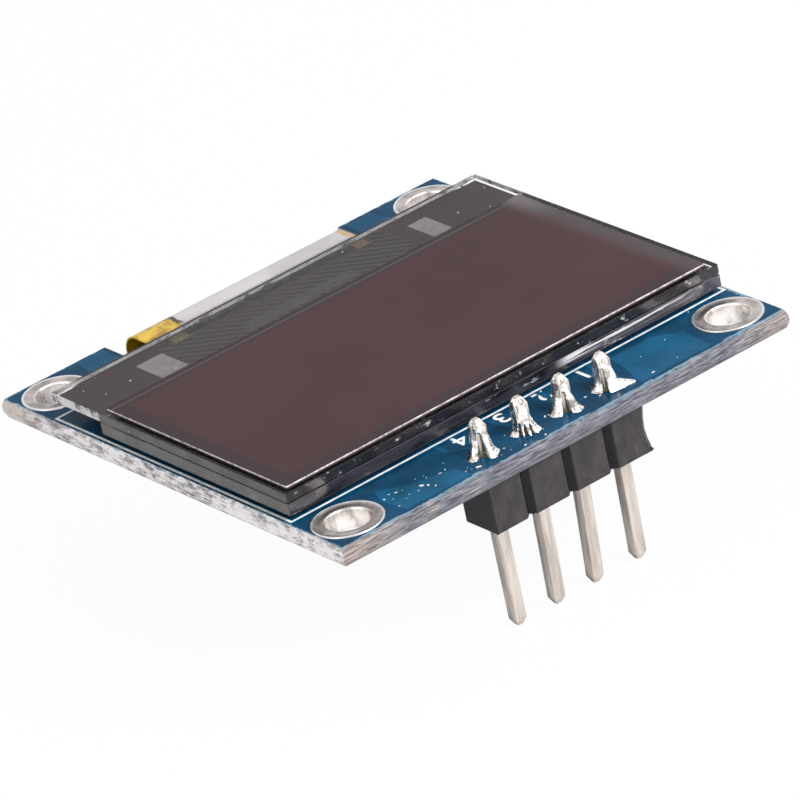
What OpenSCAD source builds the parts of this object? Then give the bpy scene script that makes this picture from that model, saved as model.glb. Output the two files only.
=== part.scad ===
// Small monochrome OLED display module on a four-pin breakout board.
// Frame: origin at the centre of the four mounting holes, on the back face of the board.
// +Z points out of the display, +Y towards the pin header, lengths in millimetres.

/* [Circuit board] */
// Width of the board between its two snapped side edges
board_w = 27.5; // [27.2:0.1:32]
// Height of the board, from the flex notch edge to the header edge
board_h = 28; // [27.6:0.1:34]
// Thickness of the board
board_t = 1; // [0.8:0.1:1.6]
// How far the scored groove reaches in from each edge
score_in = 0.14; // [0.05:0.01:0.3]
// Depth of the scored groove from each face
score_deep = 0.34; // [0.1:0.01:0.36]
// Width of the notch that the flex cable passes through
notch_w = 14.8; // [14.2:0.1:17]
// Depth of the flex notch
notch_d = 2.3; // [2:0.05:2.6]
// Corner radius that the router leaves in the notch
notch_r = 0.6; // [0.2:0.05:0.9]

/* [Mounting holes] */
// Distance from the side edges of the board to the hole centres
hole_in_x = 2; // [1.98:0.02:2.3]
// Distance from the header edge and the notch edge to the hole centres
hole_in_y = 2.1; // [1.98:0.02:2.4]
// Bore of the plated mounting holes
hole_d = 2.2; // [2:0.05:2.6]
// Outer diameter of the tinned ring round each hole
land_d = 3.6; // [3.2:0.05:3.8]
// Height of a tinned ring above the board
land_t = 0.05; // [0.03:0.01:0.1]
// Wall of the plating inside a hole
plating_t = 0.06; // [0.04:0.01:0.12]

/* [Display panel] */
// Strip of board that shows on each side of the panel glass
glass_in = 0.4; // [0.2:0.05:1.5]
// Height of the panel glass, ledge included
glass_h = 19.25; // [18.6:0.05:19.4]
// Thickness of the front glass
glass_t = 0.5; // [0.4:0.05:0.7]
// Distance from the header edge of the board to the glass
panel_in = 4.4; // [4.1:0.05:4.6]
// Thickness of the cap glass behind the front glass
cap_t = 0.65; // [0.55:0.05:0.9]
// Height of the cap glass, which stops short of the ledge
cap_h = 15.3; // [14.8:0.05:15.6]
// Depth of the recess etched into the cap glass
recess_t = 0.3; // [0.2:0.02:0.4]
// Width of the glued rim round the recess
rim_w = 1.5; // [1:0.05:1.7]
// Thickness of the glue between the two glasses
seal_t = 0.05; // [0.03:0.01:0.1]
// Thickness of the polarizer film
pol_t = 0.2; // [0.1:0.02:0.3]
// Strip of bare glass between the polarizer and the header-side edge
pol_front = 0.28; // [0.1:0.02:0.5]
// Distance from the polarizer's other long edge to the line of the cap glass edge
pol_back = 0.37; // [0.1:0.01:0.6]
// Strip of bare glass on each side of the polarizer
pol_side = 0.42; // [0.25:0.01:1]
// Sideways offset of the polarizer on the glass
pol_shift = 0.13; // [-0.2:0.01:0.2]
// Distance from the glued rim to the light-emitting layers
stack_gap = 0.5; // [0.2:0.05:1.2]
// Thickness of the light-emitting layers and their metal backing
stack_t = 0.05; // [0.03:0.01:0.1]
// Thickness of the drying sheet in the recess
dryer_t = 0.12; // [0.08:0.01:0.18]
// Thickness of the foam tape under the panel
tape_t = 0.25; // [0.15:0.01:0.5]
// How far the tape stays back from the cap edges
tape_inset = 0.35; // [0.1:0.05:2]

/* [Ledge] */
// Length of the driver chip bonded under the ledge
chip_l = 6.8; // [5:0.1:8]
// Width of the driver chip
chip_w = 0.9; // [0.7:0.05:1.2]
// Thickness of the driver chip
chip_t = 0.3; // [0.2:0.02:0.35]
// Distance from the cap edge to the driver chip
chip_gap = 0.7; // [0.4:0.05:1]
// Thickness of the dark resin that covers the traces under the ledge
resin_t = 0.12; // [0.08:0.01:0.18]
// Bare glass left between the resin and the edges of the ledge
resin_inset = 0.15; // [0.05:0.05:0.5]
// Width of the metal patch on the first side of the ledge
patch_a_w = 1.6; // [1:0.05:1.8]
// Width of the metal patch on the other side
patch_b_w = 1.15; // [1:0.05:1.8]
// Length of both metal patches
patch_l = 2.25; // [1.5:0.05:2.4]
// Distance from the side edge of the glass to the centre of the first patch
patch_a_in = 5.1; // [4.6:0.05:5.2]
// Distance from the other side edge to the centre of the other patch
patch_b_in = 4.75; // [4.4:0.05:5.2]
// Distance from the ledge's end to the patches
patch_gap = 1.15; // [0.8:0.05:1.3]
// Thickness of the metal patches
patch_t = 0.03; // [0.02:0.01:0.05]

/* [Flex cable] */
// Width of the flex cable
flex_w = 13.2; // [12:0.1:13.4]
// Thickness of the flex cable
flex_t = 0.1; // [0.08:0.01:0.16]
// Sideways offset of the flex cable
flex_shift = 0.35; // [0:0.05:0.4]
// Length of flex bonded under the ledge
bond_l = 1.1; // [0.8:0.05:1.3]
// How far the centre of the bend lies inside the notch wall
bend_back = 0.1; // [0:0.01:0.15]
// Length of the flex tail that lies on the back of the board
tail_l = 3.2; // [2.8:0.1:5]
// Number of soldered fingers
finger_n = 30; // [20:1:30]
// Spacing of the fingers
finger_pitch = 0.42; // [0.36:0.01:0.43]
// Width of one soldered finger
finger_w = 0.22; // [0.15:0.01:0.26]
// Length of one soldered finger
finger_l = 2; // [1.2:0.1:2.2]

/* [Pin header] */
// Spacing of the pins
pitch = 2.54; // [2:0.01:2.6]
// Distance from the header edge of the board to the pin row
header_edge = 1.65; // [1.4:0.05:1.9]
// Sideways offset of the header
header_shift = 0.14; // [-0.3:0.01:0.3]
// Depth of the plastic body
header_d = 2.45; // [2.1:0.05:2.6]
// Height of the plastic body
header_h = 2.66; // [2.3:0.02:3]
// Depth of the grooves that part the body into blocks
groove = 0.3; // [0.1:0.02:0.4]
// How far the cut end of the body stops short of the next groove
end_trim = 0.36; // [0:0.02:0.5]
// Side of the square pins
pin_s = 0.64; // [0.5:0.01:0.66]
// Length of a pin below the plastic body
pin_below = 5.63; // [4:0.01:9]
// Height of a pin above the display side of the board
pin_above = 1.85; // [1.5:0.05:2.4]
// Length of the taper at each pin end
pin_taper = 0.35; // [0.2:0.05:0.6]
// Diameter of the drilled pin holes
pin_hole_d = 1.02; // [0.98:0.01:1.1]

/* [Solder joints] */
// Diameter of a solder cone at the board
cone_d = 1.65; // [1.4:0.05:1.9]
// Diameter of a solder cone at its top
cone_top_d = 0.98; // [0.96:0.01:1.1]
// Height of a solder cone
cone_h = 1.3; // [0.8:0.05:1.4]

/* [Back side parts] */
// Length of a chip resistor or capacitor
chip_part_l = 1.6; // [1.2:0.05:1.7]
// Width of a chip resistor or capacitor
chip_part_w = 0.8; // [0.6:0.05:0.9]
// Height of a chip capacitor
cap_part_h = 0.8; // [0.6:0.05:0.9]
// Height of a chip resistor
res_part_h = 0.45; // [0.35:0.05:0.6]
// Length of the metal end of a chip part
chip_end = 0.35; // [0.2:0.05:0.45]
// Thickness of the solder under the parts
smd_solder_t = 0.05; // [0.03:0.01:0.1]
// Length of the regulator case
reg_l = 2.9; // [2.6:0.1:3.1]
// Width of the regulator case
reg_w = 1.3; // [1.2:0.05:1.6]
// Height of the regulator case
reg_h = 1; // [0.8:0.05:1.2]
// Length of the diode case
diode_l = 1.7; // [1.5:0.05:1.9]
// Width of the diode case
diode_w = 1.25; // [1.1:0.05:1.4]
// Height of the diode case
diode_h = 0.85; // [0.7:0.05:1]

/* [Hidden] */
$fn = 64;
over = 0.5; // overshoot of a cutting shape past the face that it cuts

// Heights of the panel layers above the back face of the board
z_cap = board_t + tape_t;
z_seal = z_cap + cap_t;
z_glass = z_seal + seal_t;
z_pol = z_glass + glass_t;

// Width of the panel, and its edges along Y
glass_w = board_w - 2 * glass_in;
glass_front = board_h / 2 - panel_in;
glass_back = glass_front - glass_h;
cap_back = glass_front - cap_h;

// Flex cable: bonded under the ledge, bent round through the notch, soldered to the back face
notch_wall = notch_d - board_h / 2;
flex_low = -smd_solder_t - flex_t;
bend_r = (z_glass - flex_low) / 2;
bend_z = (z_glass + flex_low) / 2;
bend_y = notch_wall + bend_back;
tail_end = bend_y + tail_l;

// Header row
header_y = board_h / 2 - header_edge;
pins = 4;
function pin_x(i) = header_shift + (i - (pins - 1) / 2) * pitch;

// Places of the parts on the back face: [x, y, turn]
capacitor_at = [[-11.2, 4.6, 90], [-4.6, 5.6, 90], [-2, 1.2, 90], [1, 1.2, 90], [4, 1.2, 90], [7, 1.2, 90]];
resistor_at = [[10, 1.2, 90], [3.4, 7, 0], [6.8, 7, 0], [-5, -3.4, 90], [-2, -3.4, 90], [1, -3.4, 90], [7.4, -3.4, 0]];
regulator_at = [-8, 5.2, 0];
diode_at = [-0.8, 7, 0];

// Leads of the regulator and the diode
lead_w = 0.4;
lead_t = 0.13;
reg_reach = 0.55;
reg_pitch = 0.95;
diode_reach = 0.4;
case_lift = 0.08;
case_draft = 0.07;
toe_l = 0.3; // length of the solder toe in front of a terminal
toe_rise = 0.45; // share of the terminal's height that the toe climbs

module block(size_x, y_from, y_to, z_from, z_to, mid_x = 0) {
    translate([mid_x - size_x / 2, y_from, z_from]) cube([size_x, y_to - y_from, z_to - z_from]);
}

// --- Circuit board ---

module notch_outline() {
    half = notch_w / 2;
    edge = -board_h / 2;
    translate([-half, edge - over]) square([notch_w, notch_d + over - notch_r]);
    translate([notch_r - half, edge - over]) square([notch_w - 2 * notch_r, notch_d + over]);
    for (side = [-1, 1]) translate([side * (half - notch_r), notch_wall - notch_r]) circle(r = notch_r);
}

// The wedge that a scoring wheel takes off one edge of one face; the edge runs along X at y = 0, z = 0
module score_wedge(length) {
    slope = score_deep / score_in;
    rotate([90, 0, 90]) translate([0, 0, -length / 2]) linear_extrude(length)
        polygon([[-score_in - over, over * slope], [over, over * slope], [over, -score_deep - over * slope],
                 [0, -score_deep], [-score_in, 0]]);
}

module scored_edges() {
    for (face = [0, 1]) translate([0, 0, face * board_t]) mirror([0, 0, 1 - face])
        for (turn = [0 : 90 : 270]) {
            across = turn % 180 == 0 ? board_h : board_w;
            along = turn % 180 == 0 ? board_w : board_h;
            rotate(turn) translate([0, across / 2, 0]) score_wedge(along + 2 * over);
        }
}

module at_mounting_holes() {
    x = board_w / 2 - hole_in_x;
    y = board_h / 2 - hole_in_y;
    for (side = [-1, 1], end = [-1, 1]) translate([side * x, end * y, 0]) children();
}

module circuit_board() {
    color("royalblue") difference() {
        translate([-board_w / 2, -board_h / 2, 0]) cube([board_w, board_h, board_t]);
        scored_edges();
        translate([0, 0, -over]) linear_extrude(board_t + 2 * over) notch_outline();
        at_mounting_holes() translate([0, 0, -over]) cylinder(d = hole_d + 2 * plating_t, h = board_t + 2 * over);
        for (i = [0 : pins - 1]) translate([pin_x(i), header_y, -over]) cylinder(d = pin_hole_d, h = board_t + 2 * over);
    }
}

// A plated barrel with a tinned ring on each face
module hole_platings() {
    color("silver") at_mounting_holes() difference() {
        union() {
            cylinder(d = hole_d + 2 * plating_t, h = board_t);
            for (z = [-land_t, board_t]) translate([0, 0, z]) cylinder(d = land_d, h = land_t);
        }
        translate([0, 0, -over]) cylinder(d = hole_d, h = board_t + 2 * over);
    }
}

// --- Display panel ---

module foam_tape() {
    color("dimgray") block(glass_w - 2 * tape_inset, cap_back + tape_inset, glass_front - tape_inset, board_t, z_cap);
}

module cap_glass() {
    color("lightslategray") difference() {
        block(glass_w, cap_back, glass_front, z_cap, z_seal);
        block(glass_w - 2 * rim_w, cap_back + rim_w, glass_front - rim_w, z_seal - recess_t, z_seal + over);
    }
}

module edge_seal() {
    seal_in = rim_w / 5;
    color("gray") difference() {
        block(glass_w - 2 * seal_in, cap_back + seal_in, glass_front - seal_in, z_seal, z_glass);
        block(glass_w - 2 * rim_w, cap_back + rim_w, glass_front - rim_w, z_seal - over, z_glass + over);
    }
}

module drying_sheet() {
    inset = 2 * rim_w;
    floor_z = z_seal - recess_t;
    color("whitesmoke") block(glass_w - 2 * inset, cap_back + inset, glass_front - inset, floor_z, floor_z + dryer_t);
}

module emitting_layers() {
    inset = rim_w + stack_gap;
    color("saddlebrown") block(glass_w - 2 * inset, cap_back + inset, glass_front - inset, z_glass - stack_t, z_glass);
}

module front_glass() {
    color("slategray") block(glass_w, glass_back, glass_front, z_glass, z_pol);
}

module polarizer() {
    color("rosybrown")
        block(glass_w - 2 * pol_side, cap_back + pol_back, glass_front - pol_front, z_pol, z_pol + pol_t, pol_shift);
}

// --- Ledge ---

module driver_chip() {
    chip_y = cap_back - chip_gap;
    color("darkslategray") block(chip_l, chip_y - chip_w, chip_y, z_glass - chip_t, z_glass);
}

module metal_patches() {
    patch_y = glass_back + patch_gap;
    color("silver") {
        block(patch_a_w, patch_y, patch_y + patch_l, z_glass - patch_t, z_glass, glass_w / 2 - patch_a_in);
        block(patch_b_w, patch_y, patch_y + patch_l, z_glass - patch_t, z_glass, patch_b_in - glass_w / 2);
    }
}

module ledge_resin() {
    color("black") difference() {
        block(glass_w - 2 * resin_inset, glass_back + resin_inset, cap_back, z_glass - resin_t, z_glass);
        driver_chip();
        metal_patches();
        block(flex_w, glass_back - over, glass_back + bond_l, z_glass - resin_t - over, z_glass + over, flex_shift);
    }
}

// --- Flex cable ---

module flex_outline() {
    translate([bend_y, z_glass - flex_t]) square([glass_back + bond_l - bend_y, flex_t]);
    translate([bend_y, flex_low]) square([tail_l, flex_t]);
    translate([bend_y, bend_z]) difference() {
        circle(r = bend_r);
        circle(r = bend_r - flex_t);
        translate([0, -bend_r - over]) square(2 * (bend_r + over));
    }
}

module flex_cable() {
    color("goldenrod") translate([flex_shift - flex_w / 2, 0, 0]) rotate([90, 0, 90]) linear_extrude(flex_w)
        flex_outline();
}

// One finger: a tinned land that runs under the tail, with a bead of solder against the tail's end
module flex_finger() {
    inner = tail_end - finger_l * 0.6;
    outer = tail_end + finger_l * 0.4;
    bead = smd_solder_t + flex_t * 0.8;
    rotate([90, 0, 90]) linear_extrude(finger_w)
        polygon([[inner, 0], [inner, -smd_solder_t], [tail_end, -smd_solder_t], [tail_end, -bead],
                 [tail_end + bead, -bead], [outer, -smd_solder_t / 2], [outer, 0]]);
}

module flex_solder() {
    first = flex_shift - (finger_n - 1) * finger_pitch / 2 - finger_w / 2;
    color("silver") for (i = [0 : finger_n - 1]) translate([first + i * finger_pitch, 0, 0]) flex_finger();
}

// --- Pin header ---

// Place along X of the join on the -X side of block i, where the grooves lie
function join_x(i) = pin_x(i) - pitch / 2;

// Corners along one long side of the header strip; side is -1 or 1 along Y.
// The strip was snapped off in a groove at its first end and cut square at its last.
function strip_side(side) = [for (i = [0 : pins - 1]) each [
    [join_x(i), side * (header_d / 2 - groove)],
    [join_x(i) + groove, side * header_d / 2],
    [join_x(i + 1) - (i < pins - 1 ? groove : end_trim), side * header_d / 2]]];

module header_outline() {
    near = strip_side(-1);
    far = strip_side(1);
    polygon(concat(near, [for (i = [len(far) - 1 : -1 : 0]) far[i]]));
}

module header_body() {
    color("darkslategray") difference() {
        translate([0, header_y, -header_h]) linear_extrude(header_h) header_outline();
        for (i = [0 : pins - 1]) pin(i);
    }
}

// Side view of a pin, with its ends tapered
module pin_outline() {
    low = -header_h - pin_below;
    high = board_t + pin_above;
    half = pin_s / 2;
    tip = half * 0.45;
    polygon([[-tip, low], [tip, low], [half, low + pin_taper], [half, high - pin_taper],
             [tip, high], [-tip, high], [-half, high - pin_taper], [-half, low + pin_taper]]);
}

module pin(i) {
    translate([pin_x(i), header_y, 0]) intersection() {
        rotate([90, 0, 0]) translate([0, 0, -pin_s / 2]) linear_extrude(pin_s) pin_outline();
        rotate([90, 0, 90]) translate([0, 0, -pin_s / 2]) linear_extrude(pin_s) pin_outline();
    }
}

module header_pin(i) {
    color("palegoldenrod") pin(i);
}

// Half section of a solder joint: the filled hole and the hollow-sided cone above it
function cone_r(t) = (cone_top_d + (cone_d - cone_top_d) * pow(1 - t, 2.6)) / 2;

module joint_section() {
    steps = 8;
    polygon(concat(
        [[0, 0], [pin_hole_d / 2, 0], [pin_hole_d / 2, board_t]],
        [for (k = [0 : steps]) [cone_r(k / steps), board_t + cone_h * k / steps]],
        [[0, board_t + cone_h]]));
}

module solder_joint(i) {
    color("silver") difference() {
        translate([pin_x(i), header_y, 0]) rotate_extrude() joint_section();
        pin(i);
    }
}

// --- Parts on the back face ---

// Puts a part that is drawn standing on z = 0 onto the solder of the back face
module on_back(place, lift = smd_solder_t) {
    translate([place[0], place[1], -lift]) rotate(place[2]) mirror([0, 0, 1]) children();
}

module chip_part(height, body_colour) {
    body_l = chip_part_l - 2 * chip_end;
    skin = 0.03; // the metal ends stand this proud of the body
    color(body_colour) translate([-body_l / 2, skin - chip_part_w / 2, skin])
        cube([body_l, chip_part_w - 2 * skin, height - 2 * skin]);
    color("silver") for (side = [0, 1]) mirror([side, 0, 0])
        translate([body_l / 2, -chip_part_w / 2, 0]) cube([chip_end, chip_part_w, height]);
}

module capacitor(i) on_back(capacitor_at[i]) chip_part(cap_part_h, "tan");

module resistor(i) on_back(resistor_at[i]) chip_part(res_part_h, "black");

// A moulded case whose four sides lean in towards the top and the bottom
module moulded_case(length, width, height) {
    intersection() {
        rotate([90, 0, 0]) translate([0, 0, -width / 2]) linear_extrude(width) case_outline(length, height);
        rotate([90, 0, 90]) translate([0, 0, -length / 2]) linear_extrude(length) case_outline(width, height);
    }
}

module case_outline(length, height) {
    x = length / 2;
    mid = height * 0.45;
    polygon([[case_draft - x, 0], [x - case_draft, 0], [x, mid], [x - case_draft, height],
             [case_draft - x, height], [-x, mid]]);
}

// A bent lead that leaves the case along +X at its widest height and ends in a foot
module lead(root_x, reach, height) {
    foot = reach * 0.55;
    knee = root_x + reach - foot;
    tip = root_x + reach;
    back = 0.2; // length of the lead inside the case
    translate([0, lead_w / 2, 0]) rotate([90, 0, 0]) linear_extrude(lead_w)
        polygon([[root_x - back, height], [knee - lead_t, height], [knee - lead_t, 0], [tip, 0], [tip, lead_t],
                 [knee, lead_t], [knee, height + lead_t], [root_x - back, height + lead_t]]);
}

module regulator() {
    on_back(regulator_at) {
        color("dimgray") translate([0, 0, case_lift]) moulded_case(reg_l, reg_w, reg_h);
        color("silver") for (spot = [[-reg_pitch, -90], [reg_pitch, -90], [0, 90]])
            translate([spot[0], 0, 0]) rotate(spot[1]) lead(reg_w / 2, reg_reach, case_lift + reg_h * 0.4);
    }
}

module diode() {
    on_back(diode_at) {
        color("dimgray") translate([0, 0, case_lift]) moulded_case(diode_l, diode_w, diode_h);
        color("silver") for (turn = [0, 180]) rotate(turn)
            lead(diode_l / 2, diode_reach, case_lift + diode_h * 0.4);
    }
}

// A solder land that starts at x = from, with a toe that climbs the terminal's end at x = end
module solder_land(from, end, width, rise) {
    translate([0, width / 2, 0]) rotate([90, 0, 0]) linear_extrude(width)
        polygon([[from, 0], [end + toe_l, 0], [end + toe_l, smd_solder_t / 2], [end, smd_solder_t + rise],
                 [end, smd_solder_t], [from, smd_solder_t]]);
}

module chip_part_solder(height) {
    for (turn = [0, 180]) rotate(turn)
        solder_land(chip_part_l / 2 - chip_end, chip_part_l / 2, chip_part_w, height * toe_rise);
}

module part_solder() {
    color("silver") {
        for (place = capacitor_at) on_back(place, 0) chip_part_solder(cap_part_h);
        for (place = resistor_at) on_back(place, 0) chip_part_solder(res_part_h);
        on_back(regulator_at, 0) for (spot = [[-reg_pitch, -90], [reg_pitch, -90], [0, 90]])
            translate([spot[0], 0, 0]) rotate(spot[1])
                solder_land(reg_w / 2 + reg_reach * 0.45, reg_w / 2 + reg_reach, lead_w, lead_t);
        on_back(diode_at, 0) for (turn = [0, 180]) rotate(turn)
            solder_land(diode_l / 2 + diode_reach * 0.45, diode_l / 2 + diode_reach, lead_w, lead_t);
    }
}

circuit_board();
hole_platings();
foam_tape();
cap_glass();
edge_seal();
drying_sheet();
emitting_layers();
front_glass();
polarizer();
driver_chip();
ledge_resin();
metal_patches();
flex_cable();
flex_solder();
header_body();
header_pin(0);  // header_pin_1
header_pin(1);  // header_pin_2
header_pin(2);  // header_pin_3
header_pin(3);  // header_pin_4
solder_joint(0);  // solder_joint_1
solder_joint(1);  // solder_joint_2
solder_joint(2);  // solder_joint_3
solder_joint(3);  // solder_joint_4
regulator();
diode();
capacitor(0);  // capacitor_1
capacitor(1);  // capacitor_2
capacitor(2);  // capacitor_3
capacitor(3);  // capacitor_4
capacitor(4);  // capacitor_5
capacitor(5);  // capacitor_6
resistor(0);  // resistor_1
resistor(1);  // resistor_2
resistor(2);  // resistor_3
resistor(3);  // resistor_4
resistor(4);  // resistor_5
resistor(5);  // resistor_6
resistor(6);  // resistor_7
part_solder();
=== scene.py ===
"""Small monochrome display module on a four-pin breakout board: its looks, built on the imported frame."""
import math
import random

import bmesh
import bpy
from mathutils import Matrix, Vector


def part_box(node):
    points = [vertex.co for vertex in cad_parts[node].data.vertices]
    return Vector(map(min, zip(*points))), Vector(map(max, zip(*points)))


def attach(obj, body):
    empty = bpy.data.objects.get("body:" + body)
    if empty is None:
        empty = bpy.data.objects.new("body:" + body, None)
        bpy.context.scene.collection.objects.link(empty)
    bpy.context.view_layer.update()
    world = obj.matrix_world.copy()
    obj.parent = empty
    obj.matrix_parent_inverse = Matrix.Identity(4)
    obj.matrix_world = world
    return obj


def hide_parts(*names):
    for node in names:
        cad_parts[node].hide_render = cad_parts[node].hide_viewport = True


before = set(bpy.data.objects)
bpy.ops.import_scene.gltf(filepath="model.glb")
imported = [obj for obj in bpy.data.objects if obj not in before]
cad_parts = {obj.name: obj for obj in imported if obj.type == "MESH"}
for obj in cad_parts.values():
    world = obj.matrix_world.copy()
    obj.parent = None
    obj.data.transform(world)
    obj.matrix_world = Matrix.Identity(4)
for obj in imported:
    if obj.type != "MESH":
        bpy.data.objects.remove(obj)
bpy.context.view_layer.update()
bpy.ops.object.select_all(action="DESELECT")

MM = 0.001  # pieces are modelled in millimetres and brought to metres when they are dressed
PINS = range(1, 5)

# Sizes of the solids that their boxes don't give
RING_RADIUS = 1.8
RING_BORE = 1.1
RIM_WIDTH = 1.5  # glued rim round the recess of the cap glass
RECESS_DEPTH = 0.3
FLEX_THICKNESS = 0.1
FLEX_TAIL = 3.2  # straight part of the flex cable on the back of the board
HEADER_GROOVE = 0.3
PIN_TAPER = 0.35


# ---------------------------------------------------------------- modelling helpers

def place_of(node):
    """Lowest and highest corner of a solid of the frame, in millimetres."""
    low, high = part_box(node)
    return low / MM, high / MM


def pin_middle(number):
    low, high = place_of(f"header_pin_{number}")
    return (low.x + high.x) / 2, (low.y + high.y) / 2


def work_on(piece):
    bpy.ops.object.select_all(action="DESELECT")
    piece.select_set(True)
    bpy.context.view_layer.objects.active = piece


def edit(piece):
    work_on(piece)
    bpy.ops.object.mode_set(mode="EDIT")
    bpy.ops.mesh.select_mode(type="VERT")


def done():
    bpy.ops.object.mode_set(mode="OBJECT")


def pick_all():
    bpy.ops.mesh.select_all(action="SELECT")


def extrude(step):
    bpy.ops.mesh.extrude_region_move(TRANSFORM_OT_translate={"value": step})


def pick(kind, test):
    """Selects the vertices, edges or faces whose corners all pass the test."""
    bpy.ops.mesh.select_mode(type=kind)
    bpy.ops.mesh.select_all(action="DESELECT")
    mesh = bmesh.from_edit_mesh(bpy.context.object.data)
    items = {"VERT": mesh.verts, "EDGE": mesh.edges, "FACE": mesh.faces}[kind]
    for item in items:
        corners = [item] if kind == "VERT" else item.verts
        item.select_set(all(test(v.co) for v in corners))
    bmesh.update_edit_mesh(bpy.context.object.data)


def pick_upright_edges(piece):
    bpy.ops.mesh.select_mode(type="EDGE")
    bpy.ops.mesh.select_all(action="DESELECT")
    mesh = bmesh.from_edit_mesh(piece.data)
    for edge in mesh.edges:
        a, b = (v.co for v in edge.verts)
        edge.select_set(abs(a.z - b.z) > 0.1)
    bmesh.update_edit_mesh(piece.data)


def named(name):
    piece = bpy.context.object
    piece.name = piece.data.name = name
    bpy.ops.object.transform_apply(location=True, rotation=True, scale=True)
    return piece


def block(name, low, high):
    size = [b - a for a, b in zip(low, high)]
    middle = [(a + b) / 2 for a, b in zip(low, high)]
    bpy.ops.mesh.primitive_cube_add(size=1, location=middle, scale=size)
    return named(name)


def rounded(piece, width, segments=2, angle=30):
    """Rounds the sharp edges of a piece."""
    modify(piece, "BEVEL", width=width, segments=segments, limit_method="ANGLE", angle_limit=math.radians(angle))


def modify(piece, kind, **settings):
    work_on(piece)
    modifier = piece.modifiers.new(kind.title(), kind)
    for key, value in settings.items():
        setattr(modifier, key, value)
    bpy.ops.object.modifier_apply(modifier=modifier.name)


def joined(name, parts):
    work_on(parts[0])
    for part in parts:
        part.select_set(True)
    if len(parts) > 1:
        bpy.ops.object.join()
    parts[0].name = parts[0].data.name = name
    return parts[0]


def shade(piece, degrees=35):
    work_on(piece)
    bpy.ops.object.shade_smooth_by_angle(angle=math.radians(degrees))


def line_of_points(name, points, closed=False):
    """A chain of edges through the points."""
    bpy.ops.mesh.primitive_plane_add(size=0.01, location=points[0])
    piece = named(name)
    edit(piece)
    pick_all()
    bpy.ops.mesh.merge(type="CENTER")
    before = points[0]
    for point in list(points[1:]) + ([points[0]] if closed else []):
        step = [b - a for a, b in zip(before, point)]
        extrude(step)
        before = point
    pick_all()
    bpy.ops.mesh.remove_doubles(threshold=0.0005)
    done()
    return piece


def turned(name, profile, centre, steps=64, closed=False):
    """A shape turned about an upright axis; the profile is pairs of radius and height."""
    points = [(centre[0] + r, centre[1], z) for r, z in profile]
    piece = line_of_points(name, points, closed)
    edit(piece)
    pick_all()
    bpy.ops.mesh.spin(steps=steps, angle=2 * math.pi, center=(centre[0], centre[1], 0), axis=(0, 0, 1))
    pick_all()
    bpy.ops.mesh.remove_doubles(threshold=0.0005)
    bpy.ops.mesh.normals_make_consistent(inside=False)
    done()
    return piece


def pushed_out(name, outline, direction):
    """A flat outline extruded along a direction."""
    piece = line_of_points(name, outline, closed=True)
    edit(piece)
    pick_all()
    bpy.ops.mesh.edge_face_add()
    extrude(direction)
    pick_all()
    bpy.ops.mesh.normals_make_consistent(inside=False)
    done()
    return piece


def dress(piece, finishes, slot, *nodes):
    """Brings a piece to metres, gives it its finish and fixes it to the object."""
    work_on(piece)
    piece.scale = (MM, MM, MM)
    bpy.ops.object.transform_apply(location=True, rotation=True, scale=True)
    finishes = finishes if isinstance(finishes, list) else [finishes]
    while len(piece.data.materials) < len(finishes):
        piece.data.materials.append(None)
    for i, finish in enumerate(finishes):
        piece.data.materials[i] = finish
    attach(piece, "root")
    if nodes:
        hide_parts(*nodes)
    bpy.ops.object.select_all(action="DESELECT")
    return piece


def paint(node, finish):
    """Gives a solid of the frame its finish."""
    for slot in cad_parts[node].material_slots:
        slot.material = finish


# ---------------------------------------------------------------- finish helpers

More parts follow.
